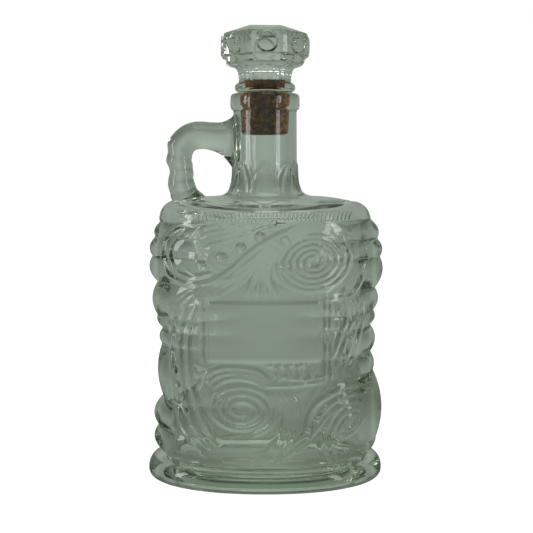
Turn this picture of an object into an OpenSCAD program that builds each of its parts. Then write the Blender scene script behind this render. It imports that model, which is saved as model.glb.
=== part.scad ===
// Handled glass bottle with a cork-seated glass stopper.
// Millimetres, +Z up, origin on the table under the middle of the oval foot.
// +X is the bottle's right as seen from the front, -Y is the front, the handle is on -X.

/* [Body] */
// Half of the body's width at its plain side walls
body_half_width = 56.2; // [55:0.1:58]
// Half of the body's depth
body_half_depth = 36; // [34.5:0.1:37]
// Squareness of the oval plan: 2 is an ellipse
plan_power = 2.15; // [2:0.05:2.4]
// Depth of the swellings on the side edges, as a share of the body's depth
lobe_depth = 0.82; // [0.7:0.01:0.9]
// Height of the shoulder where it meets the neck
shoulder_z = 150.2; // [148:0.1:151]
// Fall of the shoulder from the neck out to each side
side_fall = 2.2; // [1:0.1:3]
// Fall of the shoulder from the neck out to the front and back
face_fall = 3.8; // [3:0.1:5]
// Rounding of the shoulder's outer edge
shoulder_round = 8.5; // [7:0.5:10]
// Thickness of the side walls and the shoulder
wall = 3.6; // [3:0.1:4]
// Height of the cavity's floor
floor_z = 8.5; // [7:0.5:10]

/* [Foot] */
// Half of the foot's width
foot_half_width = 63.3; // [62.5:0.1:64]
// Half of the foot's depth
foot_half_depth = 41.6; // [40.5:0.1:42.5]
// Height of the rounded foot band
foot_h = 11.8; // [11:0.1:13]
// Depth of the oval hollow under the base
recess_depth = 1.5; // [0.5:0.1:2.5]
// Width of the flat ring that the bottle stands on, with its rounded edge
bearing_w = 12; // [9:0.5:14]

/* [Neck] */
// Outer radius of the neck below its lip
neck_r = 16.8; // [16.4:0.1:17.4]
// Outer radius of the neck above its root
neck_low_r = 18.6; // [18:0.1:19.2]
// Radius of the fillet between neck and shoulder
root_fillet = 5; // [3:0.5:6]
// Radius of the straight bore
bore_r = 13.4; // [13.2:0.1:13.6]
// Outer radius of the lip ring
lip_r = 18.1; // [17.8:0.1:19]
// Height of the lip ring
lip_h = 8.2; // [7:0.1:9]
// Height of the mouth above the table
mouth_z = 203.6; // [202:0.1:205]

/* [Handle] */
// Radius of the handle's bar
handle_r = 7.1; // [6.5:0.1:7.2]
// Distance from the neck's axis to the upright bar
handle_reach = 45; // [44:0.5:46]
// Height of the middle of the handle's upper bar
handle_z = 181.8; // [180:0.1:183]
// Radius of the swellings along the upright bar
handle_lump_r = 7.8; // [7.5:0.1:8.2]

/* [Stopper] */
// Half of the knob's width across its flat sides
knob_flat_r = 22.3; // [22:0.1:23.5]
// Height of the bottom of the knob's flat sides
knob_z = 222.6; // [222:0.2:224]
// Height of the knob's flat sides
knob_h = 11.4; // [11:0.1:13]
// Turn of the knob about its axis, in degrees
knob_turn = 3; // [0:1:10]
// Width of the bevel on each upright edge of the knob
knob_bevel = 2.2; // [1:0.1:3]
// Height of the crown over the flat sides
crown_h = 4.1; // [3:0.1:6]
// Half of the width of the crown's square table
table_half = 8.2; // [6:0.1:9]
// Radius of the round boss on each side
boss_r = 5.8; // [4:0.1:6]
// Height of the boss above its side
boss_h = 0.8; // [0.4:0.1:1.2]
// Radius of the collar that sits over the mouth
collar_r = 16; // [15:0.1:17]

/* [Cork] */
// Radius of the cork's lower end
cork_low_r = 12.4; // [12:0.1:13]
// Height of the cork's lower end above the table
cork_z = 182.8; // [181:0.1:185]
// Clearance between the cork and the neck's bore
cork_gap = 0.05; // [0.02:0.01:0.1]
// Radius of the peg on top of the cork, which fits a hole under the collar
peg_r = 6.8; // [6:0.1:7.5]
// Length of the peg
peg_l = 5; // [4:0.5:6]
// Running clearance round the peg and over its end
peg_gap = 0.05; // [0.02:0.01:0.1]

/* [Hidden] */
$fn = 96;
root_r = neck_low_r + root_fillet;
plan_points = 32;
arc_steps = 5;
knob_sides = 8;
collar_z = mouth_z + 0.8;
collar_h = 4.8;
foot_low_round = 3.5;
foot_round = 7;
cavity_round = 6;
stem_r = 13.7;
stem_h = 5.6;
flare_h = 1.7;
flare_r = 20.5;
ledge_h = 3.7;
boss_taper = 1.1;
neck_flare_l = 14;
neck_flare_r = 10.6;
shoulder_flare_h = 10;
shoulder_flare_r = 9.1;
lump_heights = [157.2, 168.2];

// Swellings down the body's side edges: [middle height, half height, reach from the axis]
upper_lobes = [[113, 11.5, 62.4], [96, 7.5, 60.4]];
lower_lobes = [[20.5, 8, 60]];
left_lobes = [[86, 4.5, 57.6], [76, 4.5, 57.2], [58, 12, 57.8], [34, 8.5, 60]];
right_lobes = [[86, 5, 58.7], [75, 6, 58.9], [60, 8, 58.6], [37, 18, 63.1]];

// Quarter arc from angle a0 to a1 round a centre, as points
function arc(centre, r, a0, a1) =
    [for (i = [0 : arc_steps]) let (t = a0 + (a1 - a0) * i / arc_steps)
        centre + r * [cos(t), sin(t)]];

function power(c) = sign(c) * pow(abs(c), 2 / plan_power);

module plan(a, b) {
    polygon([for (i = [0 : plan_points - 1]) let (t = 360 * (i + 0.5) / plan_points)
        [a * power(cos(t)), b * power(sin(t))]]);
}

// Upright outline of half width w with rounded corners and a top that rises to the middle
module elevation(w, z0, z1, low, high, rise) {
    polygon(concat(
        arc([w - low, z0 + low], low, -90, 0),
        arc([w - high, z1 - high], high, 0, 90),
        [[root_r, z1 + rise], [-root_r, z1 + rise]],
        arc([high - w, z1 - high], high, 90, 180),
        arc([low - w, z0 + low], low, 180, 270)));
}

module across(depth) {
    rotate([90, 0, 0]) linear_extrude(2 * depth, center = true) children();
}

module endways(width) {
    rotate([90, 0, 90]) linear_extrude(2 * width, center = true) children();
}

// One swelling of a side edge, kept within its own height
module lobe(side, z, half_h, reach) {
    sag = reach - body_half_width + 0.3;
    r = (half_h * half_h + sag * sag) / (2 * sag);
    intersection() {
        translate([side * (reach - r), z]) circle(r);
        translate([side * (reach - 10), z]) square([20, 2 * half_h], center = true);
    }
}

module body() {
    intersection() {
        linear_extrude(shoulder_z + 1) plan(body_half_width, body_half_depth);
        across(body_half_depth + 1)
            elevation(body_half_width, 3, shoulder_z - side_fall, 2, shoulder_round, side_fall);
        endways(body_half_width + 1)
            elevation(body_half_depth, 3, shoulder_z - face_fall, 2, shoulder_round, face_fall);
    }
    intersection() {
        linear_extrude(shoulder_z) plan(foot_half_width, body_half_depth * lobe_depth);
        across(body_half_depth) {
            for (l = concat(upper_lobes, left_lobes, lower_lobes)) lobe(-1, l[0], l[1], l[2]);
            for (l = concat(upper_lobes, right_lobes, lower_lobes)) lobe(1, l[0], l[1], l[2]);
        }
    }
}

module foot() {
    intersection() {
        linear_extrude(foot_h) plan(foot_half_width, foot_half_depth);
        across(foot_half_depth + 1)
            elevation(foot_half_width, 0, foot_h, foot_low_round, foot_round, 0);
        endways(foot_half_width + 1)
            elevation(foot_half_depth, 0, foot_h, foot_low_round, foot_round, 0);
    }
}

module cavity() {
    top = shoulder_z - wall;
    a = body_half_width - wall;
    b = body_half_depth - wall;
    intersection() {
        translate([0, 0, floor_z]) linear_extrude(top) plan(a, b);
        across(b + 1)
            elevation(a, floor_z, top - side_fall, cavity_round, cavity_round, side_fall);
        endways(a + 1)
            elevation(b, floor_z, top - face_fall, cavity_round, cavity_round, face_fall);
    }
}

module neck() {
    low_z = shoulder_z - 6;
    root_z = shoulder_z + root_fillet;
    under_lip = mouth_z - lip_h;
    edge = 1.4;
    rotate_extrude()
        polygon(concat(
            [[0, low_z], [root_r, low_z]],
            arc([root_r, root_z], root_fillet, 270, 180),
            [[neck_r, root_z + 14], [neck_r, under_lip], [lip_r - edge, under_lip]],
            arc([lip_r - edge, under_lip + edge], edge, -90, 0),
            arc([lip_r - edge, mouth_z - edge], edge, 0, 90),
            [[0, mouth_z]]));
}

module handle() {
    low_z = shoulder_z - 8;
    slim_r = handle_r - 1;
    // upper bar with its flared root on the neck
    translate([-handle_reach, 0, handle_z])
        rotate([0, 90, 0]) cylinder(r = handle_r, h = handle_reach - bore_r - 1);
    translate([-bore_r - 1.6 - neck_flare_l, 0, handle_z])
        rotate([0, 90, 0]) cylinder(r1 = slim_r, r2 = neck_flare_r, h = neck_flare_l);
    // corner and upright bar with its flared root on the shoulder
    translate([-handle_reach, 0, handle_z]) sphere(handle_r + 0.3);
    translate([-handle_reach, 0, low_z]) cylinder(r = handle_r, h = handle_z - low_z);
    translate([-handle_reach, 0, shoulder_z - 4])
        cylinder(r1 = shoulder_flare_r, r2 = slim_r, h = shoulder_flare_h);
    // swellings down the upright bar
    for (z = lump_heights) translate([-handle_reach, 0, z]) sphere(handle_lump_r);
}

module glass_bottle() {
    color([0.78, 0.84, 0.80, 0.45])
        difference() {
            union() {
                body();
                foot();
                neck();
                handle();
            }
            cavity();
            translate([0, 0, shoulder_z - 20]) cylinder(r = bore_r, h = mouth_z);
            // hollow under the base, which leaves a flat ring to stand on
            translate([0, 0, -1])
                linear_extrude(1 + recess_depth)
                    plan(foot_half_width - bearing_w, foot_half_depth - bearing_w);
        }
}

module cork_plug() {
    edge = 0.8;
    color("#8a5a32")
        rotate_extrude()
            polygon([[0, cork_z], [cork_low_r - edge, cork_z], [cork_low_r, cork_z + edge],
                     [bore_r - cork_gap, mouth_z - 2], [bore_r - cork_gap, collar_z],
                     [peg_r, collar_z], [peg_r, collar_z + peg_l], [0, collar_z + peg_l]]);
}

module glass_stopper() {
    color([0.80, 0.86, 0.82, 0.45]) {
        grip();
        knob();
    }
}

// Beaded collar with the hole for the cork's peg, waist, and the flare under the knob
module grip() {
    bead = collar_h / 2;
    hole_r = peg_r + peg_gap;
    hole_z = collar_z + peg_l + peg_gap;
    waist_z = collar_z + collar_h + stem_h;
    ledge_z = knob_z - ledge_h;
    rotate_extrude()
        polygon(concat(
            [[0, hole_z], [hole_r, hole_z], [hole_r, collar_z]],
            arc([collar_r - bead, collar_z + bead], bead, -90, 0),
            arc([collar_r - bead, collar_z + bead], bead, 0, 60),
            [[stem_r, collar_z + collar_h], [stem_r, waist_z], [stem_r + 2, ledge_z - flare_h],
             [flare_r, ledge_z], [flare_r, knob_z + 1], [0, knob_z + 1]]));
}

// Eight sides with round bosses, under a crown of eight facets round a square table
module knob() {
    rim_z = knob_z + knob_h;
    overlap = 0.2;
    rotate(knob_turn) {
        translate([0, 0, knob_z]) sides(knob_h);
        hull() {
            translate([0, 0, rim_z - overlap]) sides(overlap);
            translate([0, 0, rim_z]) linear_extrude(crown_h) square(2 * table_half, center = true);
        }
        for (i = [0 : knob_sides - 1])
            rotate(i * 360 / knob_sides)
                translate([0, -knob_flat_r - boss_h, knob_z + knob_h / 2])
                    rotate([-90, 0, 0]) cylinder(r1 = boss_r - boss_taper, r2 = boss_r, h = boss_h + overlap);
    }
}

// The knob's eight upright sides, with a narrow bevel where they meet
module sides(h) {
    cut = knob_bevel / 2 * tan(180 / knob_sides);
    intersection() {
        octagon(knob_flat_r, h);
        rotate(180 / knob_sides) octagon(knob_flat_r / cos(180 / knob_sides) - cut, h);
    }
}

// Upright eight-sided prism with one flat side facing the front
module octagon(flat_r, h) {
    rotate(180 / knob_sides) cylinder(r = flat_r / cos(180 / knob_sides), h = h, $fn = knob_sides);
}

glass_bottle();
cork_plug();
glass_stopper();
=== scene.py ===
"""Handled glass bottle with a cork-seated glass stopper: its looks, around the fixed frame."""

import math

import bpy
import numpy as np
from bpy.props import FloatProperty, FloatVectorProperty, IntProperty, PointerProperty
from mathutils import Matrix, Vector, noise


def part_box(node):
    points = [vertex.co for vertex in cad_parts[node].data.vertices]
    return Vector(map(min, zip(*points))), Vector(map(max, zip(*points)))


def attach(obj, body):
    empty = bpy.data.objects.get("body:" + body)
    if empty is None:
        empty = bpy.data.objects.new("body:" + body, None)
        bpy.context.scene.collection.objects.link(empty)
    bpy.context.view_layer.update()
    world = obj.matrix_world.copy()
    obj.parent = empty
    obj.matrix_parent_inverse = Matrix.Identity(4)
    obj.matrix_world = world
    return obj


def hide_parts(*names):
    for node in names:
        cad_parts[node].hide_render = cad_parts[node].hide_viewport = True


bl_info = {
    "name": "Handled Glass Bottle",
    "version": (1, 0, 0),
    "blender": (4, 5, 0),
    "location": "View3D > Sidebar > Bottle",
    "description": "Makes a handled relief bottle, its cork and its glass stopper",
    "category": "Add Mesh",
}

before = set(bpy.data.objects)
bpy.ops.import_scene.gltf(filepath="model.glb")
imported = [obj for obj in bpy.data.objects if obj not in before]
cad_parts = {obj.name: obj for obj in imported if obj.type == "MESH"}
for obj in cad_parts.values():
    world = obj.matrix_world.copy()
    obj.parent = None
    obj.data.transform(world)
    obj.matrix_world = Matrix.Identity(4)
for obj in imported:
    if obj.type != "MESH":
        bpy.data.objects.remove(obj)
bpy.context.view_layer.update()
MM = 0.001

# Heights and the foot's half width and half depth, in millimetres, from the fixed frame
FOOT_X, FOOT_Y, MOUTH_Z = (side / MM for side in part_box("glass_bottle")[1])
PEG_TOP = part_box("cork_plug")[1].z / MM + 0.06      # the end of the cork's peg, glued to the glass
COLLAR_Z, KNOB_TOP = (corner.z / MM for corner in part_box("glass_stopper"))

# ---- Outlines, in millimetres ----------------------------------------------

SQUARENESS = 2.15      # power of the body's oval: 2 is an ellipse, and more is squarer
CREASE_Z = 12.2        # where the foot meets the body
SIDE_TOP_Z = 139.7     # where the side edges end and the shoulder starts to round over
SHOULDER_ROUND = 9.5

# Hollow under the foot: half width, half depth, height at its edge, and how much higher its middle is
HOLLOW = (50.0, 28.4, 1.5, 1.4)
# Ring the bottle stands on, from the hollow outwards: (inset from the foot's edge, height)
FOOT_RING = [(12.4, 1.4), (11.9, 0.6), (11.0, 0.0), (4.6, 0.0)]
# Lower and upper rounding of the foot's edge: (inward, middle height, upward, degrees from level)
FOOT_ROUNDS = [(3.6, 3.7, 3.7, np.linspace(-84, 0, 9)), (5.2, 4.6, 6.6, np.linspace(4, 80, 11))]

# Swellings of the side edges: (middle height, reach from the axis, half height)
LEFT_EDGE = [
    (138.5, 56.2, 4.0), (131.3, 59.0, 4.4), (122.8, 61.5, 5.0), (113.2, 61.7, 6.0), (95.8, 60.3, 8.0),
    (85.3, 57.9, 4.2), (75.6, 56.7, 4.8), (58.0, 57.8, 13.0), (34.0, 60.0, 6.0), (21.2, 60.0, 5.4),
]
RIGHT_EDGE = [
    (138.5, 56.2, 4.5), (131.0, 60.6, 5.0), (122.1, 62.6, 5.0), (111.8, 62.9, 7.5), (96.2, 60.6, 6.0),
    (86.6, 59.0, 4.2), (74.5, 59.2, 6.5), (60.8, 58.8, 6.5), (36.5, 63.1, 14.0), (20.5, 60.2, 5.5),
]
EDGE_DROP = 2.3        # how far a swelling falls back at its half height
EDGE_LEAST = 54.6      # half width between the swellings

# Neck and lip: (radius, height)
NECK = [
    (26.3, 150.1), (22.6, 150.7), (19.9, 152.5), (18.8, 155.0), (17.9, 158.4), (17.3, 162.0),
    (16.9, 168.0), (16.8, 180.0), (16.7, 192.0), (16.7, 194.4),
]
LIP = [
    (17.0, 195.2), (17.8, 195.7), (18.2, 197.0), (18.25, 200.0), (18.1, 202.2), (17.4, 203.3),
    (16.3, MOUTH_Z), (15.0, MOUTH_Z), (14.0, 203.3), (13.5, 202.6),
]
# The neck's root dips at the front and back: by how much, the height it starts below, and over what height
ROOT_DIP, ROOT_DIP_TOP, ROOT_DIP_SPAN = 0.9, 153.5, 3.4

# Inside: the bore's (radius, height), then the cavity
BORE = [
    (13.4, 201.4), (13.4, 190.0), (13.4, 176.0), (13.4, 162.0), (13.6, 155.0), (14.6, 150.4), (17.5, 147.6),
]
EDGE_EXTRA = 1.0       # the side edges are this much thicker than the wall
TOP_CORNER, FLOOR_CORNER = 9.0, 13.0
FLOOR_Z, FLOOR_CROWN = 9.0, 1.2

# Handle stations, from the neck round to the shoulder: (outer edge, inner edge), each (x, z)
HANDLE = [
    ((-14.2, 196.0), (-14.2, 160.4)), ((-15.8, 194.6), (-16.4, 163.4)),
    ((-17.8, 191.4), (-19.0, 167.4)), ((-22.6, 189.0), (-23.1, 171.7)),
    ((-28.0, 188.9), (-28.0, 174.0)), ((-33.0, 189.3), (-32.4, 174.9)),
    ((-38.2, 189.0), (-35.8, 174.6)), ((-43.6, 187.0), (-37.4, 173.8)),
    ((-48.4, 183.0), (-38.2, 172.4)), ((-51.4, 178.2), (-38.7, 170.4)),
    ((-51.5, 173.4), (-38.8, 168.6)), ((-52.2, 168.2), (-38.3, 166.0)),
    ((-50.4, 163.0), (-38.0, 162.6)), ((-51.5, 158.4), (-37.9, 159.6)),
    ((-51.0, 153.6), (-36.6, 154.8)), ((-49.8, 149.0), (-33.2, 151.2)),
    ((-48.6, 145.6), (-28.6, 147.4)),
]

# ---- Relief of one face: x across it and z up, as one faces it, in mm ------

# Left, right, bottom and top of the plain panel on each face
LABEL = (-29.2, 28.6, 66.6, 98.2)
BACK_PANEL = (-30.0, 30.0, 50.0, 98.0)
PANEL_HEIGHT = 0.85     # how far a panel stands out, as a share of the relief
BACK_SHARE = 0.45       # the back's relief is shallower, as a share of the front's

# Spirals: (centre x, z, first radius, turns, pitch, height over width, tilt in degrees,
# 1 if it opens counter-clockwise or -1 if clockwise)
SPIRALS = [
    (24.0, 118.0, 2.0, 5.4, 3.45, 0.80, 10, 1),
    (-12.0, 43.0, 2.8, 3.2, 5.0, 0.70, -4, -1),
    (43.9, 33.4, 1.6, 1.9, 3.9, 0.52, 42, 1),
]

# Plumes: (edge line, other edge line, number of ridges)
PLUMES = [
    # sweep over the top of the upper spiral
    ([(-9, 101), (-5, 112), (3, 124), (16, 135), (32, 137.5), (43, 131)],
     [(6, 101), (2, 110), (4, 119), (11, 128), (24, 134.5), (36, 131)], 4),
    # long diagonal fronds
    ([(-50, 92), (-38, 102), (-22, 109), (-8, 118), (4, 129), (18, 137)],
     [(-30, 98.8), (-24, 101), (-16, 106), (-8, 113), (0, 121), (8, 130)], 4),
    # curled frond in the upper left
    ([(-36, 129), (-31, 134), (-20, 136.5), (-6, 137.5), (6, 137.5)],
     [(-33, 123), (-28, 126), (-18, 129), (-8, 134), (2, 136)], 4),
    # stem down the left side
    ([(-45, 93), (-47.8, 82), (-48.4, 67), (-46.4, 46), (-40, 28.5), (-29.6, 17.5)],
     [(-34, 97), (-38.5, 83), (-39.2, 68), (-37.2, 52.7), (-30.5, 34.8), (-23.4, 24)], 3),
    # bands that fold round the right of the lower spiral
    ([(0.8, 52.6), (7, 47), (9.8, 39), (7, 28), (-4, 18.5), (-22, 16)],
     [(11, 53), (15.5, 46), (17, 37), (13.5, 26), (5, 17), (-2, 15)], 4),
    # hood over the lower spiral
    ([(-34, 52), (-29, 60.5), (-18, 64.2), (-4, 62.5), (3, 56.5)],
     [(-30, 46), (-25, 55), (-16, 59.0), (-5, 57.5), (1, 53)], 3),
    # sheath of the lower right scroll
    ([(19.9, 28.4), (23.9, 42.6), (32.1, 49.1), (43.7, 53.4), (54, 53)],
     [(21.5, 26), (27, 37), (33.5, 44.6), (43.7, 49), (54, 48.4)], 2),
    # outline of the lower right scroll, folding back at its foot
    ([(33.4, 15.5), (29.7, 20.4), (28.9, 26.7), (32.2, 34.5), (37, 41.5), (44, 44.8), (51, 43)],
     [(37, 15.5), (34, 20.5), (33.4, 26.5), (35.2, 32), (39, 38), (44.4, 41.4), (50, 40.2)], 2),
    # leaves up the right side
    ([(33, 66), (38, 78), (42, 90), (40, 104)], [(44, 62), (47, 74), (50, 86), (49, 98)], 4),
]

# Single ridges: (half width, height as a share of the relief's, points)
RIDGES = [
    (1.5, 1.0, [(-4, 138.6), (-30, 138), (-45, 135), (-52, 127), (-52.5, 117), (-48, 109.5), (-38, 106),
                (-27, 108), (-17, 114), (-8, 122), (2, 129), (14, 135)]),
    (1.2, 0.8, [(-40, 133), (-47.5, 126), (-48, 117), (-43, 111), (-35, 110), (-27, 112)]),
    (1.0, 0.9, [(30.6, 98.5), (30.8, 57.5)]),
    (1.0, 0.9, [(33.2, 98.0), (33.6, 57.2)]),
    (0.9, 0.8, [(-31.6, 98.5), (-31.6, 66)]),
    (1.2, 0.9, [(-2, 55.2), (14, 55.4), (31, 56.8)]),
    (1.1, 0.8, [(4, 61), (18, 58.2), (31, 59)]),
    (1.3, 0.9, [(50, 132), (53, 122), (50, 110), (45, 101), (38, 99)]),
    (1.5, 0.9, [(6.8, 16.5), (18.9, 24.4), (27, 33), (33, 40.2), (40, 44.6)]),
    (1.6, 1.0, [(43.4, 83.9), (47.2, 89.5), (51, 97)]),
]

# Petals of the shell below the label: where each starts, and the outline they share
PETALS = [0.8, 5.8, 11.2, 16.8]
PETAL = [(0, 66.2), (4.2, 65.2), (6.2, 61.5), (6.6, 56.8)]

# Rows of round beads: (first radius, last radius, number, points along the row)
BEAD_ROWS = [
    (2.9, 2.8, 4, [(-32, 116), (-22.5, 120), (-12, 125), (-2.5, 130.5)]),
    (2.0, 1.9, 7, [(-46.3, 60.8), (-44.1, 51.8), (-42.2, 45.4), (-38.9, 36.2), (-33.5, 29), (-28, 23)]),
    (1.9, 1.9, 6, [(21.9, 31.9), (25.8, 37.0), (30.1, 42.1), (36.5, 47.2), (43.7, 50.8), (49.3, 51.2)]),
    (2.1, 1.7, 5, [(51.5, 126), (49.5, 115.5), (48.5, 107), (47, 98)]),
    (1.9, 1.6, 3, [(40, 69), (44, 80), (46.5, 88)]),
    (1.4, 1.4, 3, [(38.6, 18.2), (43.5, 18.0), (48, 17.6)]),
]
FRONT_BEAD, BACK_BEAD = 1.9, 0.7      # how far the beads stand out

# Band of small ribs under the shoulder
RIB_SPAN = (-34.0, 45.0)
RIB_Z, RIB_PITCH = 140.6, 2.1
RIB_HALF_WIDTH, RIB_STRETCH, RIB_HEIGHT, RIB_SINK = 0.55, 5.0, 0.8, 0.15


def smooth_line(points, step=1.0):
    """Points along a smooth curve through the given ones, about step apart."""
    p = np.asarray(points, float)
    p = np.vstack([2 * p[0] - p[1], p, 2 * p[-1] - p[-2]])
    line = []
    for a, b, c, d in zip(p, p[1:], p[2:], p[3:]):
        n = max(2, int(math.ceil(np.linalg.norm(c - b) / step)))
        t = np.linspace(0, 1, n, endpoint=False)[:, None]
        line.append(0.5 * (2 * b + (c - a) * t + (2 * a - 5 * b + 4 * c - d) * t**2
                           + (3 * b - a - 3 * c + d) * t**3))
    return np.vstack(line + [p[-2:-1]])


def evenly(points, count):
    """The given number of points at equal steps along a smooth curve."""
    line = smooth_line(points, 0.5)
    run = np.r_[0, np.cumsum(np.linalg.norm(np.diff(line, axis=0), axis=1))]
    at = np.linspace(0, run[-1], count)
    return np.column_stack([np.interp(at, run, line[:, k]) for k in range(line.shape[1])])


def spiral_line(x, z, start, turns, pitch, squash, tilt, sense):
    """An oval spiral, opening by its pitch each turn."""
    t = np.linspace(0, turns, int(turns * 44))
    r = start + pitch * t
    ang = sense * 2 * math.pi * t
    u, v = r * np.cos(ang), squash * r * np.sin(ang)
    c, s = math.cos(math.radians(tilt)), math.sin(math.radians(tilt))
    return np.column_stack([x + c * u - s * v, z + s * u + c * v])


def raise_ridge(height, x, z, line, half_width, top, fade=3.0):
    """Lifts height to a rounded ridge along the line, which tapers away over fade at both ends."""
    (left, low), (right, high) = line.min(0) - half_width, line.max(0) + half_width
    near = (x > left) & (x < right) & (z > low) & (z < high)
    if not near.any():
        return
    px, pz = x[near][:, None], z[near][:, None]
    a, d = line[:-1], np.diff(line, axis=0)
    length2 = (d**2).sum(1) + 1e-9
    s = np.clip(((px - a[:, 0]) * d[:, 0] + (pz - a[:, 1]) * d[:, 1]) / length2, 0, 1)
    away = np.hypot(px - a[:, 0] - s * d[:, 0], pz - a[:, 1] - s * d[:, 1])
    run = np.r_[0, np.cumsum(np.sqrt(length2))]
    along = run[:-1] + s * np.sqrt(length2)
    taper = np.clip(np.minimum(along, run[-1] - along) / fade, 0, 1) ** 0.5
    lift = top * (taper * np.clip(1 - (away / half_width) ** 2, 0, 1) ** 1.3).max(1)
    height[near] = np.maximum(height[near], lift)


def in_panel(panel, x, z, grow):
    """How far inside a plain panel, grown by grow, from 0 outside to 1 well inside."""
    left, right, low, high = panel
    inside = np.minimum(np.minimum(x - left, right - x), np.minimum(z - low, high - z)) + grow
    return np.clip(inside / 0.9, 0, 1)


def relief(x, z, panel):
    """Height of the relief at each place on a face with the given plain panel, from 0 to about 1."""
    height = np.zeros_like(x)
    for spiral in SPIRALS:
        pitch = spiral[4]
        raise_ridge(height, x, z, spiral_line(*spiral), half_width=min(2.1, 0.43 * pitch), top=1.0)
    for edge, other, count in PLUMES:
        a, b = evenly(edge, 40), evenly(other, 40)
        for k in range(count):
            raise_ridge(height, x, z, a + (b - a) * k / (count - 1), half_width=1.75, top=0.95, fade=5.0)
    for half_width, top, points in RIDGES:
        raise_ridge(height, x, z, smooth_line(points), half_width, top)
    for start in PETALS:
        line = smooth_line([(start + across, up) for across, up in PETAL])
        raise_ridge(height, x, z, line, half_width=1.5, top=1.0, fade=2.0)
    gutter, proud = in_panel(panel, x, z, 0.9), in_panel(panel, x, z, -0.3)
    return height * (1 - gutter) + PANEL_HEIGHT * proud


# ---- Mesh building ---------------------------------------------------------

def new_mesh_object(name, points, faces, material=None):
    """A mesh object at the origin, from points in millimetres."""
    mesh = bpy.data.meshes.new(name)
    mesh.from_pydata((np.asarray(points) * MM).tolist(), [], faces)
    mesh.update()
    obj = bpy.data.objects.new(name, mesh)
    bpy.context.scene.collection.objects.link(obj)
    if material is not None:
        mesh.materials.append(material)
    return obj


def loft(name, rings, start, end, material=None):
    """Skins rings of equal length, and closes each end on a centre point."""
    rings = np.asarray(rings)
    count, around = rings.shape[:2]
    turn = [(a, (a + 1) % around) for a in range(around)]
    faces = []
    for low in range(0, (count - 1) * around, around):
        high = low + around
        faces += [(low + a, low + b, high + b, high + a) for a, b in turn]
    last = (count - 1) * around
    tip = count * around
    faces += [(b, a, tip) for a, b in turn]
    faces += [(last + a, last + b, tip + 1) for a, b in turn]
    points = np.vstack([rings.reshape(-1, 3), start, end])
    return new_mesh_object(name, points, faces, material)


def baked(obj):
    """The object with its modifiers applied, as a plain mesh in place of its first one."""
    graph = bpy.context.evaluated_depsgraph_get()
    graph.update()
    old, obj.data = obj.data, bpy.data.meshes.new_from_object(obj.evaluated_get(graph))
    obj.modifiers.clear()
    if old.users == 0:
        bpy.data.meshes.remove(old)
    obj.data.name = obj.name
    return obj


def weld(target, tool):
    """Fuses the tool's solid into the target's, as one closed mesh, and removes the tool."""
    fuse = target.modifiers.new("fuse", "BOOLEAN")
    fuse.operation, fuse.solver, fuse.object = "UNION", "MANIFOLD", tool
    before = len(target.data.polygons)
    baked(target)
    bpy.data.objects.remove(tool)
    if len(target.data.polygons) < before * 0.5:
        raise RuntimeError(f"fusing into {target.name} lost most of its faces")


def smooth_shading(obj, crease_degrees):
    """Smooth faces, with a crisp edge where two faces meet at more than the given angle."""
    obj.data.shade_smooth()
    obj.data.set_sharp_from_angle(angle=math.radians(crease_degrees))


# ---- Node helper and materials ---------------------------------------------

def add(tree, kind, inputs=None, stops=(), **settings):
    """Adds a node with its settings, its colour stops and its inputs, by name or number, filled or linked.

    A node given as an input stands for its first output.
    """
    node = tree.nodes.new(kind)
    for key, value in settings.items():
        setattr(node, key, value)
    for key, value in (inputs or {}).items():
        if isinstance(value, bpy.types.Node):
            value = value.outputs[0]
        if isinstance(value, bpy.types.NodeSocket):
            tree.links.new(value, node.inputs[key])
        else:
            node.inputs[key].default_value = value
    if stops:
        ramp = node.color_ramp.elements
        for stop, (place, colour) in zip(ramp, (stops[0], stops[-1])):
            stop.position, stop.color = place, colour
        for place, colour in stops[1:-1]:
            ramp.new(place).color = colour
    return node


def linear(hex_colour):
    """An sRGB hex colour as linear RGBA."""
    parts = [int(hex_colour[i:i + 2], 16) / 255 for i in (1, 3, 5)]
    return tuple(c / 12.92 if c <= 0.04045 else ((c + 0.055) / 1.055) ** 2.4 for c in parts) + (1.0,)


def new_material(name):
    """An empty node material and its tree."""
    mat = bpy.data.materials.new(name)
    mat.use_nodes = True
    mat.node_tree.nodes.clear()
    return mat, mat.node_tree


def soda_lime_glass(name, tint):
    """Moulded soda-lime glass: clear and glossy, and green-grey where it is thick.

    The tint is how fast its colour deepens, per metre of glass.
    """
    mat, tree = new_material(name)
    skin = add(tree, "ShaderNodeBsdfPrincipled", {
        "Base Color": linear("#f6f9f6"), "Roughness": 0.02, "IOR": 1.51, "Transmission Weight": 1.0})
    depth = add(tree, "ShaderNodeVolumeAbsorption", {"Color": linear("#c2ccba"), "Density": tint})
    add(tree, "ShaderNodeOutputMaterial", {"Surface": skin, "Volume": depth})
    return mat


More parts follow.
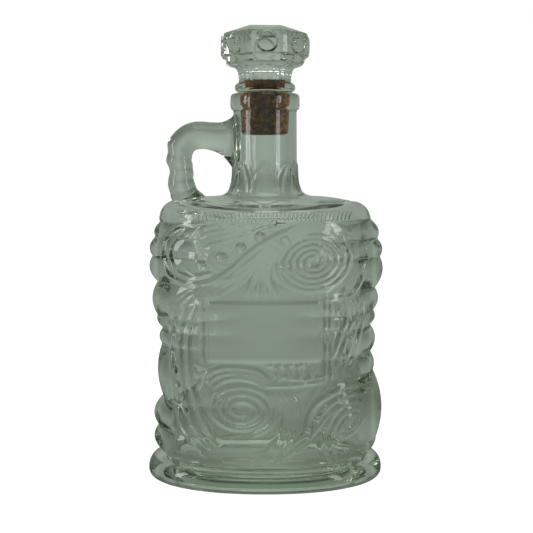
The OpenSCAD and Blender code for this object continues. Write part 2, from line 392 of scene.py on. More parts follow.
def natural_cork(name):
    """Punched natural cork: matt warm brown, with a 2 mm mottle, flat growth lines and a fine uneven skin.

    It has painted shade and painted light: darker towards its middle plane, and paler towards its left and
    right sides.
    """
    mat, tree = new_material(name)
    where = add(tree, "ShaderNodeTexCoord").outputs["Object"]
    mottle = add(tree, "ShaderNodeTexNoise", {"Vector": where, "Scale": 1 / (2.2 * MM), "Detail": 5.0,
                                              "Roughness": 0.65})
    grain = add(tree, "ShaderNodeTexNoise", {"Vector": where, "Scale": 1 / (0.7 * MM), "Detail": 3.0,
                                             "Roughness": 0.6})
    flattened = add(tree, "ShaderNodeMapping", {"Vector": where, "Scale": (1.0, 1.0, 4.0)})
    growth = add(tree, "ShaderNodeTexNoise", {"Vector": flattened, "Scale": 1 / (5.0 * MM), "Detail": 3.0,
                                              "Roughness": 0.6})
    tone = add(tree, "ShaderNodeValToRGB", {"Fac": mottle}, stops=[
        (0.34, linear("#3e1b04")), (0.5, linear("#ac6a2c")), (0.68, linear("#f2b05c"))])
    lines = add(tree, "ShaderNodeMapRange", {"Value": growth, "From Min": 0.35, "From Max": 0.6,
                                             "To Min": 0.55, "To Max": 1.0})
    place = add(tree, "ShaderNodeSeparateXYZ", {"Vector": where})
    aside = add(tree, "ShaderNodeMath", {0: place.outputs["X"]}, operation="ABSOLUTE")
    # painted shade and painted light: the colour darkens across the cork's middle plane and brightens towards
    # its left and right sides
    painted_shade_and_light = add(tree, "ShaderNodeMapRange", {"Value": aside, "From Min": 4 * MM, "From Max": 11.5 * MM,
                                              "To Min": 0.42, "To Max": 1.5})
    shade = add(tree, "ShaderNodeMath", {0: lines, 1: painted_shade_and_light}, operation="MULTIPLY")
    colour = add(tree, "ShaderNodeMix", {0: 1.0, 6: tone, 7: shade}, data_type="RGBA",
                 blend_type="MULTIPLY", clamp_result=True)
    bump = add(tree, "ShaderNodeBump", {"Height": grain, "Strength": 0.7, "Distance": 0.5 * MM})
    skin = add(tree, "ShaderNodeBsdfPrincipled", {
        "Base Color": colour.outputs[2], "Roughness": 0.82, "IOR": 1.45, "Specular IOR Level": 0.25,
        "Normal": bump})
    add(tree, "ShaderNodeOutputMaterial", {"Surface": skin})
    return mat


def cork_pore(name):
    """The lenticels of cork, its open pores: dark brown and powdery, uneven at 0.6 mm."""
    mat, tree = new_material(name)
    where = add(tree, "ShaderNodeTexCoord").outputs["Object"]
    speck = add(tree, "ShaderNodeTexNoise", {"Vector": where, "Scale": 1 / (0.6 * MM)})
    tone = add(tree, "ShaderNodeValToRGB", {"Fac": speck}, stops=[
        (0.0, linear("#261205")), (1.0, linear("#54290d"))])
    skin = add(tree, "ShaderNodeBsdfPrincipled", {"Base Color": tone, "Roughness": 0.95,
                                                  "Specular IOR Level": 0.1})
    add(tree, "ShaderNodeOutputMaterial", {"Surface": skin})
    return mat


# ---- Geometry nodes: studs on the glass, and pores in the cork --------------

def new_tree(name, sockets):
    """A node group that takes a geometry and the named inputs and gives a geometry, and its input node."""
    tree = bpy.data.node_groups.new(name, "GeometryNodeTree")
    for label, kind in (("Geometry", "Geometry"), *sockets):
        tree.interface.new_socket(label, in_out="INPUT", socket_type="NodeSocket" + kind)
    tree.interface.new_socket("Geometry", in_out="OUTPUT", socket_type="NodeSocketGeometry")
    return tree, add(tree, "NodeGroupInput")


def end_tree(tree, instances, material):
    """Ends a node group: instances made real, then their material."""
    solid = add(tree, "GeometryNodeRealizeInstances", {"Geometry": instances})
    painted = add(tree, "GeometryNodeSetMaterial", {"Geometry": solid, "Material": material})
    add(tree, "NodeGroupOutput", {"Geometry": painted})


def stud_tree():
    """Sets a squashed ball, or a flat-topped disc, on each point, standing along the point's facing."""
    tree, given = new_tree("studs", [("Stand Out", "Float"), ("Stretch", "Float"), ("Segments", "Int"),
                                     ("Rings", "Int"), ("Flat Topped", "Bool"), ("Material", "Material")])
    give = given.outputs
    disc = add(tree, "GeometryNodeMeshCone", {"Vertices": give["Segments"], "Radius Top": 0.8,
                                              "Radius Bottom": 1.0, "Depth": 1.0})
    ball = add(tree, "GeometryNodeMeshUVSphere", {"Segments": give["Segments"], "Rings": give["Rings"],
                                                  "Radius": 1.0})
    size = add(tree, "GeometryNodeInputNamedAttribute", {"Name": "size"}, data_type="FLOAT")
    facing = add(tree, "GeometryNodeInputNamedAttribute", {"Name": "facing"}, data_type="FLOAT_VECTOR")
    tall = add(tree, "ShaderNodeMath", {0: size, 1: give["Stretch"]}, operation="MULTIPLY")
    scale = add(tree, "ShaderNodeCombineXYZ", {"X": size, "Y": tall, "Z": give["Stand Out"]})
    turn = add(tree, "FunctionNodeAlignRotationToVector", {"Vector": facing}, axis="Z")
    shape = add(tree, "GeometryNodeSwitch", {"Switch": give["Flat Topped"], "False": ball, "True": disc},
                input_type="GEOMETRY")
    placed = add(tree, "GeometryNodeInstanceOnPoints", {
        "Points": give["Geometry"], "Instance": shape, "Rotation": turn, "Scale": scale})
    end_tree(tree, placed, give["Material"])
    return tree


def pore_tree():
    """Scatters flat flecks, of mixed sizes, over the faces marked as the cork's side."""
    tree, given = new_tree("cork_pores", [("Density", "Float"), ("Length", "Float"), ("Thickness", "Float"),
                                          ("Seed", "Int"), ("Material", "Material")])
    give = given.outputs
    side = add(tree, "GeometryNodeInputNamedAttribute", {"Name": "side"}, data_type="BOOLEAN")
    spread = add(tree, "GeometryNodeDistributePointsOnFaces", {
        "Mesh": give["Geometry"], "Selection": side, "Density": give["Density"], "Seed": give["Seed"]})
    fleck = add(tree, "GeometryNodeMeshIcoSphere", {"Radius": 1.0, "Subdivisions": 2})
    size = add(tree, "FunctionNodeRandomValue", {2: 0.35, 3: 1.0, "Seed": give["Seed"]}, data_type="FLOAT")
    length = add(tree, "ShaderNodeMath", {0: give["Length"], 1: size.outputs[1]}, operation="MULTIPLY")
    width = add(tree, "ShaderNodeMath", {0: length, 1: 0.45}, operation="MULTIPLY")
    scale = add(tree, "ShaderNodeCombineXYZ", {"X": length, "Y": width, "Z": give["Thickness"]})
    placed = add(tree, "GeometryNodeInstanceOnPoints", {
        "Points": spread, "Instance": fleck, "Rotation": spread.outputs["Rotation"], "Scale": scale})
    end_tree(tree, placed, give["Material"])
    return tree


def set_inputs(modifier, values):
    """Sets a node modifier's inputs by their identifiers, found from their names."""
    for item in modifier.node_group.interface.items_tree:
        if item.item_type == "SOCKET" and item.in_out == "INPUT" and item.name in values:
            modifier[item.identifier] = values[item.name]


def studs(name, places, sizes, facings, material, stand_out, stretch=1.0, segments=16, rings=10, flat=False):
    """Balls, or flat-topped discs, at the given places in millimetres, that stand out by stand_out."""
    obj = new_mesh_object(name, places, [], material)
    attributes = obj.data.attributes
    attributes.new("size", "FLOAT", "POINT").data.foreach_set("value", np.asarray(sizes) * MM)
    attributes.new("facing", "FLOAT_VECTOR", "POINT").data.foreach_set("vector", np.ravel(facings))
    modifier = obj.modifiers.new("studs", "NODES")
    modifier.node_group = bpy.data.node_groups.get("studs") or stud_tree()
    set_inputs(modifier, {"Stand Out": stand_out * MM, "Stretch": stretch, "Segments": segments,
                          "Rings": rings, "Flat Topped": flat, "Material": material})
    return baked(obj)


# ---- Bottle ----------------------------------------------------------------

def edge_reach(z, swellings):
    """Half width of the body at height z, down one side edge."""
    reach = np.full_like(z, EDGE_LEAST)
    for middle, top, half in swellings:
        reach = np.maximum(reach, top - EDGE_DROP * ((z - middle) / half) ** 2)
    return reach


def oval(t, left, right, depth, power, z):
    """One ring of the bottle: an oval with its own reach to the left and to the right, at the height z."""
    c, s = np.cos(t), np.sin(t)
    x = np.where(c > 0, right, left) * np.sign(c) * np.abs(c) ** (2 / power)
    y = depth * np.sign(s) * np.abs(s) ** (2 / power)
    return np.column_stack([x, y, np.broadcast_to(z, t.shape)])


def even_angles(columns, half_width, half_depth, power):
    """Angles that space the columns round the oval, closer at the front than at the back."""
    t = np.linspace(0, 2 * math.pi, 20001)
    ring = oval(t, half_width, half_width, half_depth, power, 0)
    front_share = 0.28
    steps = np.linalg.norm(np.diff(ring, axis=0), axis=1) * (1 - front_share * np.sin(t[1:]))
    run = np.r_[0, np.cumsum(steps)]
    return np.interp(np.linspace(0, run[-1], columns, endpoint=False), run, t)


def plan_normals(ring):
    """Outward unit vectors in plan, round a ring."""
    along = np.roll(ring, -1, axis=0) - np.roll(ring, 1, axis=0)
    out = np.column_stack([along[:, 1], -along[:, 0], np.zeros(len(ring))])
    return out / np.linalg.norm(out, axis=1)[:, None]


def surface_point(size, x, z, front):
    """A point of the body's plain face, x across it as one faces it, and its outward direction."""
    power = SQUARENESS
    share = min(abs(x) / size.half_width, 0.999)
    y = size.half_depth * (1 - share ** power) ** (1 / power)
    slope_x = math.copysign(share ** (power - 1) / size.half_width, x)
    slope_y = (y / size.half_depth) ** (power - 1) / size.half_depth
    out = Vector((slope_x, slope_y, 0)).normalized()
    if front:
        return (x, -y, z), (out.x, -out.y, 0)
    return (-x, y, z), (-out.x, out.y, 0)


class BodySize:
    """The panel's sizes of the body, in millimetres."""

    def __init__(self, settings):
        self.half_width = settings.half_width / MM
        self.half_depth = settings.half_depth / MM
        self.wall = settings.wall / MM
        self.relief = settings.relief / MM


def shoulder_height(t):
    """Height of the shoulder's rim: lower at the front and back, and a little lower on the right."""
    return 148.2 - 1.9 * np.sin(t) ** 2 - 0.9 * np.clip(np.cos(t), 0, 1) ** 2


def rounded(t, reach, inward, z, upward, degrees):
    """Rings round a corner that goes in and up from the height z; reach is its left, right and depth."""
    left, right, depth = reach
    rings = []
    for phi in np.radians(degrees):
        inset = inward * (1 - math.cos(phi))
        rings.append(oval(t, left - inset, right - inset, depth - inset, SQUARENESS,
                          z + upward * math.sin(phi)))
    return rings


def dished(start, end, shares):
    """Rings at the given shares of the way between two rings, which change height fastest at the start."""
    rings = []
    for k in shares:
        ring = start + (end - start) * k
        ring[:, 2] = start[:, 2] + (end[:, 2] - start[:, 2]) * math.sin(k * math.pi / 2)
        rings.append(ring)
    return rings


def foot_rings(t):
    """Rings from the middle of the underside, over the foot's edge, to its crease with the body."""
    width, depth, edge_z, crown = HOLLOW
    rings = [oval(t, width * k, width * k, depth * k, SQUARENESS, edge_z + crown * (1 - k * k))
             for k in (0.08, 0.3, 0.55, 0.8, 0.94)]
    rings += [oval(t, FOOT_X - inset, FOOT_X - inset, FOOT_Y - inset, SQUARENESS, z)
              for inset, z in FOOT_RING]
    for inward, z, upward, degrees in FOOT_ROUNDS:
        rings += rounded(t, (FOOT_X, FOOT_X, FOOT_Y), inward, z, upward, degrees)
    return rings


def face_rings(size, t, rows):
    """The body's rings from the foot's crease to the shoulder's rounding, with their relief."""
    rim = shoulder_height(t) - SHOULDER_ROUND
    rings = []
    for v in np.linspace(0, 1, rows):
        z = CREASE_Z + v * (rim - CREASE_Z)
        reach = np.where(np.cos(t) > 0, edge_reach(z, RIGHT_EDGE), edge_reach(z, LEFT_EDGE))
        waist = 0.8 * (1 - np.clip((z - CREASE_Z) / 3.0, 0, 1))      # drawn in just above the foot
        depth = size.half_depth - waist
        rings.append(oval(t, reach, reach, depth, SQUARENESS, z))
    grid = np.array(rings)
    x, z = grid[..., 0], grid[..., 2]
    # The relief dies away towards the side edges and the foot
    fade = np.clip((57 - np.abs(x)) / 6, 0, 1) * np.clip((z - CREASE_Z) / 2.5, 0, 1)
    front = relief(x.ravel(), z.ravel(), LABEL).reshape(x.shape)
    back = BACK_SHARE * relief(-x.ravel(), z.ravel(), BACK_PANEL).reshape(x.shape)
    lift = size.relief * np.where(grid[..., 1] < 0, front, back) * fade
    out = np.array([plan_normals(ring) for ring in grid])
    return list(grid + out * lift[..., None])


def shoulder_rings(size, t):
    """Rings of the rounding between the sides and the shoulder."""
    left, right = (edge_reach(np.array([SIDE_TOP_Z]), edge)[0] for edge in (LEFT_EDGE, RIGHT_EDGE))
    return rounded(t, (left, right, size.half_depth), SHOULDER_ROUND, shoulder_height(t) - SHOULDER_ROUND,
                   SHOULDER_ROUND, np.linspace(8, 90, 12))


def neck_ring(t, r, z):
    """One ring of the neck. Near its root it is a little narrower, and dips, towards the front and back."""
    ring = oval(t, r, r, r * (1 - 0.12 * min(max((r - 19) / 7, 0), 1)), 2.0, z)
    ring[:, 2] -= ROOT_DIP * np.sin(t) ** 2 * np.clip((ROOT_DIP_TOP - z) / ROOT_DIP_SPAN, 0, 1)
    return ring


def petal_height(angle, z):
    """Pointed petals in low relief, eight round the root of the neck."""
    low, high, count = 151.5, 167.5, 8
    share = (z - low) / (high - low)
    if not 0 < share < 1:
        return np.zeros_like(angle)
    off = np.abs((angle / (2 * math.pi / count) + 0.5) % 1 - 0.5) * 2
    edge = 0.85 * (1 - share ** 2)
    return 0.55 * np.exp(-((off - edge) / 0.16) ** 2) * min(1.0, share * 6)


def neck_rings(t, edge):
    """Rings in from the shoulder's edge, and up the neck and the lip."""
    profile = smooth_line(NECK, 1.4)
    rings = dished(edge, neck_ring(t, *profile[0]), np.linspace(0, 1, 14)[1:-1])
    angle = np.arctan2(np.sin(t), np.cos(t))
    for r, z in profile:
        ring = neck_ring(t, r, z)
        rings.append(ring + plan_normals(ring) * petal_height(angle, z)[:, None])
    return rings + [oval(t, r, r, r, 2.0, z) for r, z in LIP]


def inner_rings(size, t, rows):
    """Rings down the bore and the inside of the body to the middle of its floor."""
    rings = [oval(t, r, r, r, 2.0, z) for r, z in smooth_line(BORE, 4.0)]
    a, b = size.half_width - size.wall - EDGE_EXTRA, size.half_depth - size.wall
    top = shoulder_height(t) - size.wall
    edge = oval(t, a - TOP_CORNER, a - TOP_CORNER, b - TOP_CORNER, SQUARENESS, top)
    rings += dished(rings[-1], edge, np.linspace(0, 1, 9)[1:])
    rings += rounded(t, (a, a, b), TOP_CORNER, top - TOP_CORNER, TOP_CORNER, np.linspace(75, 0, 7))
    low = FLOOR_Z + FLOOR_CORNER
    for v in np.linspace(1, 0, rows)[1:]:
        z = low + v * (top - TOP_CORNER - low)
        ripple = 0.10 * np.sin(z / 11.0 + 2 * t) + 0.06 * np.sin(z / 7.0 - 3 * t)      # uneven, as blown
        ring = oval(t, a, a, b, SQUARENESS, z)
        rings.append(ring + plan_normals(ring) * (ripple * min(1.0, 6 * v * (1 - v)))[:, None])
    rings += rounded(t, (a, a, b), FLOOR_CORNER, low, -FLOOR_CORNER, np.linspace(0, 84, 10)[1:])
    a, b = a - FLOOR_CORNER, b - FLOOR_CORNER
    rings += [oval(t, a * k, a * k, b * k, SQUARENESS, FLOOR_Z + FLOOR_CROWN * (1 - k * k))
              for k in (0.8, 0.6, 0.4, 0.2, 0.06)]
    return rings


def handle_object(settings, material):
    """The one-finger loop: an oval bar through the stations, lumpy down its upright part."""
    line = evenly([outer + inner for outer, inner in HANDLE], settings.handle_rings)
    phi = np.linspace(0, 2 * math.pi, settings.handle_segments, endpoint=False)
    lump_height, lump_count, flare_mm = 0.02, 11.0, 1.4
    rings = []
    for k, (ox, oz, ix, iz) in zip(np.linspace(0, 1, len(line)), line):
        upright = min(1, max(0, (k - 0.5) * 6), 12 * (1 - k))
        lump = 1 + lump_height * math.sin(2 * math.pi * k * lump_count) * upright
        centre = np.array([(ox + ix) / 2, 0, (oz + iz) / 2])
        half = np.array([(ox - ix) / 2, 0, (oz - iz) / 2]) * lump
        flare = flare_mm * (max(0, 1 - k / 0.12) ** 2 + max(0, (k - 0.9) / 0.1) ** 2)
        thick = (settings.handle_thickness / MM / 2 + flare) * lump
        rings.append(centre + np.outer(np.cos(phi), half) + np.outer(np.sin(phi), (0, thick, 0)))
    return loft("handle_bar", rings, rings[0].mean(0), rings[-1].mean(0), material)


def bead_places(size, front):
    """Where each bead of one face's relief stands, how big it is, and which way it faces."""
    places, sizes, facings = [], [], []
    for first, last, count, points in BEAD_ROWS:
        for k, (x, z) in enumerate(evenly(points, count)):
            place, facing = surface_point(size, x, z, front)
            places.append(place)
            facings.append(facing)
            sizes.append(first + (last - first) * k / max(count - 1, 1))
    return places, sizes, facings


def rib_places(size):
    """Where the small upright ribs of both faces stand on the shoulder's rounding, and how they lean."""
    places, facings = [], []
    for front in (True, False):
        for x in np.arange(*RIB_SPAN, RIB_PITCH):
            (px, py, pz), facing = surface_point(size, x, RIB_Z, front)
            t = np.arctan2(py / size.half_depth, px / size.half_width)
            tilt = (RIB_Z - float(shoulder_height(t)) + SHOULDER_ROUND) / SHOULDER_ROUND
            level = math.sqrt(1 - tilt ** 2)
            sunk = SHOULDER_ROUND * (1 - level) + RIB_SINK
            places.append((px - facing[0] * sunk, py - facing[1] * sunk, pz))
            facings.append((facing[0] * level, facing[1] * level, tilt))
    return places, facings


def make_bottle(settings):
    """The bottle: one closed skin from the hollow underneath, over the lip and down inside to its floor."""
    size = BodySize(settings)
    glass = soda_lime_glass("soda_lime_bottle_glass", tint=17.0)
    t = even_angles(settings.columns, size.half_width, size.half_depth, SQUARENESS)
    rings = foot_rings(t) + face_rings(size, t, settings.rows) + shoulder_rings(size, t)
    rings += neck_rings(t, rings[-1]) + inner_rings(size, t, settings.inner_rows)
    under, floor = HOLLOW[2] + HOLLOW[3], FLOOR_Z + FLOOR_CROWN
    bottle = loft("bottle_body", rings, (0, 0, under), (0, 0, floor), glass)
    weld(bottle, handle_object(settings, glass))
    for front, stand_out in ((True, FRONT_BEAD), (False, BACK_BEAD)):
        places, sizes, facings = bead_places(size, front)
        weld(bottle, studs("beads", places, sizes, facings, glass, stand_out))
    places, facings = rib_places(size)
    weld(bottle, studs("ribs", places, [RIB_HALF_WIDTH] * len(places), facings, glass, RIB_HEIGHT,
                       RIB_STRETCH, segments=8, rings=8))
    smooth_shading(bottle, crease_degrees=50)
    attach(bottle, "bottle")
    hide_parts("glass_bottle")


# ---- Stopper ---------------------------------------------------------------

KNOB_TURN = 3.0        # degrees, the front face turned to the right
HOLE_TOP = PEG_TOP - 0.03
WAIST_Z, FLUTES, FLUTE_DEPTH = 214.0, 24, 0.3
FLAT_LOW, RIM_Z = 222.4, 234.0

# From the peg hole up to the knob: (radius or half flat width, height, how eight-sided)
STOPPER = [
    (3.0, HOLE_TOP, 0), (6.6, HOLE_TOP, 0), (6.85, PEG_TOP - 0.3, 0), (6.85, 207.0, 0),
    (6.85, COLLAR_Z, 0), (10.0, COLLAR_Z, 0), (13.6, COLLAR_Z, 0), (14.8, 204.8, 0), (15.7, 205.7, 0),
    (16.0, 206.8, 0), (15.7, 207.9, 0), (14.9, 208.7, 0), (14.0, 209.3, 0), (13.7, 210.2, 0),
    (13.6, 211.6, 0), (13.7, 213.2, 0), (14.0, 214.8, 0), (14.7, 216.2, 0), (15.7, 217.1, 0),
    (17.2, 217.7, 0.1), (18.8, 218.2, 0.3), (19.9, 218.8, 0.6), (20.3, 219.5, 0.8), (20.4, 221.6, 1),
    (20.7, 222.1, 1),
]
# The knob's flat sides, up to its rim: (inset, height)
KNOB_SIDES = [
    (0.5, FLAT_LOW), (0.1, FLAT_LOW + 0.3), *((0.0, z) for z in np.linspace(FLAT_LOW + 0.8, RIM_Z - 3.6, 5)),
    (0.9, RIM_Z - 0.4), (1.3, RIM_Z),
]


def knob_ring(flat, side, bevel, across):
    """Points round an eight-sided outline, from its half width and half the length of each main side."""
    corners = []
    for k in range(4):
        turn = complex(math.cos(k * math.pi / 2), math.sin(k * math.pi / 2))
        corners += [complex(flat, -side) * turn, complex(flat, side) * turn]
    points = []
    for a, b, c in zip(corners, corners[1:] + corners[:1], corners[2:] + corners[:2]):
        ahead, after = (b - a) / abs(b - a), (c - b) / abs(c - b)
        start, end, past = a + ahead * bevel, b - ahead * bevel, b + after * bevel
        points += [start + (end - start) * k / across for k in range(across)]
        points += [end, (end + past) / 2]
    ring = np.array(points) * complex(math.cos(math.radians(KNOB_TURN)), math.sin(math.radians(KNOB_TURN)))
    return np.column_stack([ring.real, ring.imag])


def make_stopper(settings):
    """The pressed stopper: peg hole, collar, fluted waist, and an eight-sided knob with its bosses."""
    glass = soda_lime_glass("pressed_stopper_glass", tint=5.0)
    flat = settings.flat_half_width / MM
    corner = math.tan(math.pi / 8)
    bevel = settings.bevel / MM / 2 / math.cos(math.pi / 8)
    across = settings.side_columns

    def eight_sided(r):
        """The knob's outline, from its half width."""
        return knob_ring(r, r * corner, bevel, across)

    rings = []
    for r, z, share in STOPPER:
        eight = eight_sided(r)
        round_ring = eight / np.linalg.norm(eight, axis=1)[:, None]
        turn = np.arctan2(eight[:, 1], eight[:, 0])
        radius = r + FLUTE_DEPTH * np.cos(FLUTES * turn) * np.clip(1 - abs(z - WAIST_Z) / 4.0, 0, 1)
        rings.append((round_ring * radius[:, None] * (1 - share) + eight * share, z))
    rings += [(eight_sided(flat - inset), z) for inset, z in KNOB_SIDES]
    rim, table_half = rings[-1][0], settings.table_half / MM
    table = knob_ring(table_half, table_half - 0.6, 0.15, across)
    rings += [(rim + (table - rim) * k, RIM_Z + (KNOB_TOP - RIM_Z) * k) for k in (0.06, 0.35, 0.7, 0.97)]
    rings += [(table * k, KNOB_TOP) for k in (0.95, 0.6)]
    rings = [np.column_stack([ring, np.full(len(ring), z)]) for ring, z in rings]
    stopper = loft("stopper", rings, (0, 0, HOLE_TOP), (0, 0, KNOB_TOP), glass)
    turns = [math.radians(KNOB_TURN) + math.pi / 4 * k for k in range(8)]
    facings = [(math.cos(a), math.sin(a), 0) for a in turns]
    seat, boss_z = flat - 0.05, (FLAT_LOW + RIM_Z) / 2 - 0.2
    places = [(seat * x, seat * y, boss_z) for x, y, _ in facings]
    weld(stopper, studs("bosses", places, [settings.boss_radius / MM] * 8, facings, glass,
                        settings.boss_height / MM, segments=48, flat=True))
    smooth_shading(stopper, crease_degrees=20)
    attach(stopper, "stopper")
    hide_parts("glass_stopper")


# ---- Cork ------------------------------------------------------------------

CORK_LOW, CORK_TOP = 182.5, 204.43
# From the middle of its lower end, up its side, and up its peg: (radius, height)
CORK = [
    (3.0, CORK_LOW), (7.0, CORK_LOW), (10.6, CORK_LOW), (11.8, 182.8), (12.4, 183.6), (12.6, 188.0),
    (12.9, 193.0), (13.15, 198.0), (13.33, 201.6), (13.33, 203.4), (13.2, 204.35), (12.9, CORK_TOP),
    (10.0, CORK_TOP), (7.3, CORK_TOP), (6.88, 204.7), (6.88, PEG_TOP - 0.3), (6.6, PEG_TOP), (3.0, PEG_TOP),
]
WEAR_SPAN, DENT_SPAN = 2.6, 1.1      # how far apart the cork's soft hollows and its small dents are


def cork_ring(r, z, roughness):
    """One ring of the cork, worn and dented unless it is on the peg or near the middle of an end."""
    theta = np.linspace(0, 2 * math.pi, 128, endpoint=False)
    ring = np.column_stack([r * np.cos(theta), r * np.sin(theta), np.full_like(theta, z)])
    if r > 8:
        wear = [0.5 + 0.5 * noise.noise(Vector(p) / WEAR_SPAN) for p in ring]
        dent = [max(0.0, noise.noise(Vector(p) / DENT_SPAN + Vector((7, 3, 1))) - 0.25) for p in ring]
        ring[:, :2] *= (1 - roughness * (np.array(wear) * 0.6 + np.array(dent) * 2.2) / r)[:, None]
    return ring


def make_cork(settings):
    """The cork with its peg, and its pores as a piece of their own."""
    rings = []
    for (r, z), (r2, z2) in zip(CORK, CORK[1:]):
        steps = max(1, round(math.hypot(r2 - r, z2 - z) / 0.9))
        rings += [cork_ring(r + (r2 - r) * k / steps, z + (z2 - z) * k / steps, settings.roughness / MM)
                  for k in range(steps)]
    rings.append(cork_ring(*CORK[-1], settings.roughness / MM))
    cork = loft("cork", rings, (0, 0, CORK_LOW), (0, 0, PEG_TOP), natural_cork("natural_cork"))
    side = np.array([p.center.xy.length > 11 * MM for p in cork.data.polygons])
    cork.data.attributes.new("side", "BOOLEAN", "FACE").data.foreach_set("value", side)
    cork.data.shade_smooth()
    pores = bpy.data.objects.new("cork_pores", cork.data.copy())
    bpy.context.scene.collection.objects.link(pores)
    modifier = pores.modifiers.new("pores", "NODES")
    modifier.node_group = pore_tree()
    set_inputs(modifier, {"Density": settings.pores, "Length": 1.1 * MM, "Thickness": 0.04 * MM,
                          "Seed": 5, "Material": cork_pore("cork_lenticels")})
    baked(pores)
    for piece in (cork, pores):
        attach(piece, "cork")
    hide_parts("cork_plug")


# ---- Stage -----------------------------------------------------------------

# Soft lamps: (name, degrees round from the camera's side, height, distance, width, length in metres, share)
LAMPS = [
    ("left_box", -68, 0.35, 0.9, 0.15, 0.6, 1.0),
    ("right_box", 51, 0.35, 0.9, 0.13, 0.6, 0.7),
    ("top_box", 10, 1.1, 0.4, 0.7, 0.5, 1.0),
]
BOUNCES = 28      # light turns many times inside the thick foot and shoulder, which are black with fewer


def grey(share):
    """A grey as linear RGBA."""
    return (share, share, share, 1.0)


def studio_world(settings):
    """A white surround to the eye, and to what the glass gathers a grey-green room.

    The room is brighter above the horizon, dimmer to the left and right, and dimmer behind the camera.
    """
    world = bpy.data.worlds.new("studio")
    bpy.context.scene.world = world
    world.use_nodes = True
    tree = world.node_tree
    tree.nodes.clear()
    where = add(tree, "ShaderNodeTexCoord").outputs["Generated"]
    way = add(tree, "ShaderNodeSeparateXYZ", {"Vector": where})
    level = add(tree, "ShaderNodeMapRange", {"Value": way.outputs["Z"], "From Min": -1.0, "From Max": 1.0})
    tones = ((0.05, "#8c9688"), (0.32, "#7d877b"), (0.42, "#929c91"), (0.47, "#a1aba2"), (0.52, "#a3ada4"),
             (0.70, "#b2bcb3"))
    wall = add(tree, "ShaderNodeValToRGB", {"Fac": level}, stops=[(at, linear(tone)) for at, tone in tones])
    aside = add(tree, "ShaderNodeMath", {0: way.outputs["X"]}, operation="ABSOLUTE")
    corner = add(tree, "ShaderNodeValToRGB", {"Fac": aside}, stops=[
        (0.04, grey(1.0)), (0.28, grey(0.77)), (0.6, grey(0.72)), (0.97, grey(0.80))])
    near = add(tree, "ShaderNodeMapRange", {"Value": way.outputs["Y"], "From Min": -0.9, "From Max": -0.2,
                                            "To Min": 0.9, "To Max": settings.room})
    shade = add(tree, "ShaderNodeMath", {0: corner, 1: near}, operation="MULTIPLY")
    room = add(tree, "ShaderNodeBackground", {"Color": wall, "Strength": shade})
    seen = add(tree, "ShaderNodeBackground", {"Color": grey(1.0), "Strength": 1.0})
    camera_ray = add(tree, "ShaderNodeLightPath").outputs["Is Camera Ray"]
    both = add(tree, "ShaderNodeMixShader", {0: camera_ray, 1: room, 2: seen})
    add(tree, "ShaderNodeOutputWorld", {"Surface": both})


def pale_floor():
    """Seamless paper: near white with a soft shadow to the eye, and a darker grey to bounced light."""
    mat, tree = new_material("seamless_paper")
    paper = add(tree, "ShaderNodeBsdfDiffuse", {"Color": linear("#f2f2f0")})
    glow = add(tree, "ShaderNodeEmission", {"Color": grey(1.0), "Strength": 1.9})
    bright = add(tree, "ShaderNodeMixShader", {0: 0.5, 1: paper, 2: glow})
    dark = add(tree, "ShaderNodeBsdfDiffuse", {"Color": linear("#8a9289")})
    camera_ray = add(tree, "ShaderNodeLightPath").outputs["Is Camera Ray"]
    both = add(tree, "ShaderNodeMixShader", {0: camera_ray, 1: dark, 2: bright})
    add(tree, "ShaderNodeOutputMaterial", {"Surface": both})
    side = 3000      # half of its width, in millimetres
    floor = new_mesh_object("floor", [(-side, -side, 0), (side, -side, 0), (side, side, 0), (-side, side, 0)],
                            [(0, 1, 2, 3)], mat)
    floor.visible_transmission = False
    floor.visible_glossy = False


def place_and_aim(name, data, place, target):
    """An object for a lamp or a camera, at a place and looking at the target."""
    obj = bpy.data.objects.new(name, data)
    bpy.context.scene.collection.objects.link(obj)
    obj.location = place
    obj.rotation_euler = (target - obj.location).to_track_quat("-Z", "Y").to_euler()
    return obj


def make_stage(settings):
    """The surround, the floor, three soft lamps and the camera."""
    scene = bpy.context.scene
    scene.view_settings.view_transform = "Standard"
    for kind in ("max_bounces", "transmission_bounces", "glossy_bounces"):
        setattr(scene.cycles, kind, BOUNCES)
    studio_world(settings)
    pale_floor()
    middle = Vector(settings.aim)
    for name, azimuth, height, distance, width, length, share in LAMPS:
        data = bpy.data.lights.new(name, "AREA")
        data.shape, data.size, data.size_y, data.energy = "RECTANGLE", width, length, settings.lamps * share
        a = math.radians(azimuth)
        place_and_aim(name, data, Vector((distance * math.sin(a), -distance * math.cos(a), height)), middle)
    data = bpy.data.cameras.new("camera")
    data.lens, data.sensor_width = settings.lens, 36.0
    rise = math.radians(settings.elevation)
    place = middle + settings.distance * Vector((0, -math.cos(rise), math.sin(rise)))
    scene.camera = place_and_aim("camera", data, place, middle)


# ---- Settings, operators and panel -----------------------------------------

class BottleSettings(bpy.types.PropertyGroup):
    """Sizes of the bottle"""
    half_width: FloatProperty(name="Half width", description="Half of the plain body's width",
                              default=0.0572, unit="LENGTH")
    half_depth: FloatProperty(name="Half depth", description="Half of the plain body's depth",
                              default=0.0354, unit="LENGTH")
    wall: FloatProperty(name="Wall", description="Thickness of the walls", default=0.0036, unit="LENGTH")
    relief: FloatProperty(name="Relief", description="Height of the scrolls", default=0.0009, unit="LENGTH")
    columns: IntProperty(name="Columns", description="Faces round the body", default=288)
    rows: IntProperty(name="Rows", description="Rows of faces up the body", default=132)
    inner_rows: IntProperty(name="Inner rows", description="Rows of faces up the inside", default=18)
    handle_thickness: FloatProperty(name="Handle thickness", description="Handle's thickness, front to back",
                                    default=0.0138, unit="LENGTH")
    handle_rings: IntProperty(name="Handle rings", description="Rings along the handle", default=110)
    handle_segments: IntProperty(name="Handle segments", description="Faces round the handle", default=40)


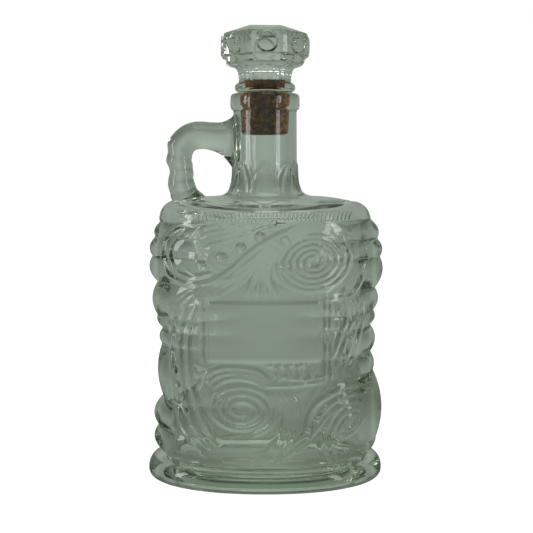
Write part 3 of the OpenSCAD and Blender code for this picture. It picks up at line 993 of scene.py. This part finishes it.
class StopperSettings(bpy.types.PropertyGroup):
    """Sizes of the stopper's knob"""
    flat_half_width: FloatProperty(name="Half flat width", description="Middle of the knob to its flat side",
                                   default=0.0223, unit="LENGTH")
    bevel: FloatProperty(name="Bevel", description="Width of the bevel between two sides",
                         default=0.0022, unit="LENGTH")
    table_half: FloatProperty(name="Half table", description="Half of the crown's square table",
                              default=0.0082, unit="LENGTH")
    boss_radius: FloatProperty(name="Boss radius", description="Radius of the round boss on each side",
                               default=0.0058, unit="LENGTH")
    boss_height: FloatProperty(name="Boss height", description="How far each boss stands out",
                               default=0.0008, unit="LENGTH")
    side_columns: IntProperty(name="Side columns", description="Faces across each side", default=22)


class CorkSettings(bpy.types.PropertyGroup):
    """The cork's surface"""
    roughness: FloatProperty(name="Roughness", description="Depth of the cork's unevenness",
                             default=0.00045, unit="LENGTH")
    pores: FloatProperty(name="Pores", description="Pores per square metre of side", default=90000)


class StageSettings(bpy.types.PropertyGroup):
    """Camera and light"""
    aim: FloatVectorProperty(name="Aim", description="Point the camera looks at", size=3,
                             default=(0.0008, 0.0, 0.1124), subtype="XYZ", unit="LENGTH")
    distance: FloatProperty(name="Distance", description="Camera to aim", default=0.5037, unit="LENGTH")
    elevation: FloatProperty(name="Elevation", description="Camera's height over level, in degrees",
                             default=5.5)
    lens: FloatProperty(name="Lens", description="Focal length in millimetres", default=63.5)
    room: FloatProperty(name="Room", description="Brightness of the surround", default=1.0)
    lamps: FloatProperty(name="Lamps", description="Power of each soft lamp", default=1.5)


class BOTTLE_OT_glass(bpy.types.Operator):
    """Make the glass bottle with its relief, foot, neck and handle"""
    bl_idname = "bottle.make_glass"
    bl_label = "Make Bottle"

    def execute(self, context):
        make_bottle(context.scene.bottle_glass)
        return {"FINISHED"}


class BOTTLE_OT_cork(bpy.types.Operator):
    """Make the cork and its pores"""
    bl_idname = "bottle.make_cork"
    bl_label = "Make Cork"

    def execute(self, context):
        make_cork(context.scene.bottle_cork)
        return {"FINISHED"}


class BOTTLE_OT_stopper(bpy.types.Operator):
    """Make the eight-sided glass stopper"""
    bl_idname = "bottle.make_stopper"
    bl_label = "Make Stopper"

    def execute(self, context):
        make_stopper(context.scene.bottle_stopper)
        return {"FINISHED"}


class BOTTLE_OT_stage(bpy.types.Operator):
    """Make the floor, the lamps and the camera"""
    bl_idname = "bottle.make_stage"
    bl_label = "Make Stage"

    def execute(self, context):
        make_stage(context.scene.bottle_stage)
        return {"FINISHED"}


class BOTTLE_PT_pieces(bpy.types.Panel):
    """The sizes of each piece, and a button that makes it"""
    bl_idname = "BOTTLE_PT_pieces"
    bl_label = "Bottle"
    bl_space_type = "VIEW_3D"
    bl_region_type = "UI"
    bl_category = "Bottle"

    def draw(self, context):
        for operator, (name, group) in zip(OPERATORS, GROUPS.items()):
            box = self.layout.box()
            for size in group.__annotations__:
                box.prop(getattr(context.scene, name), size)
            box.operator(operator.bl_idname)


OPERATORS = (BOTTLE_OT_stage, BOTTLE_OT_glass, BOTTLE_OT_cork, BOTTLE_OT_stopper)
GROUPS = {"bottle_stage": StageSettings, "bottle_glass": BottleSettings,
          "bottle_cork": CorkSettings, "bottle_stopper": StopperSettings}


def register():
    for cls in (*GROUPS.values(), *OPERATORS, BOTTLE_PT_pieces):
        bpy.utils.register_class(cls)
    for name, group in GROUPS.items():
        setattr(bpy.types.Scene, name, PointerProperty(type=group))


def unregister():
    for name in GROUPS:
        delattr(bpy.types.Scene, name)
    for cls in (BOTTLE_PT_pieces, *reversed(OPERATORS), *reversed(GROUPS.values())):
        bpy.utils.unregister_class(cls)


def main():
    """Makes the stage and every piece"""
    register()
    bpy.ops.bottle.make_stage()
    bpy.ops.bottle.make_glass()
    bpy.ops.bottle.make_cork()
    bpy.ops.bottle.make_stopper()


if __name__ == "__main__":
    main()
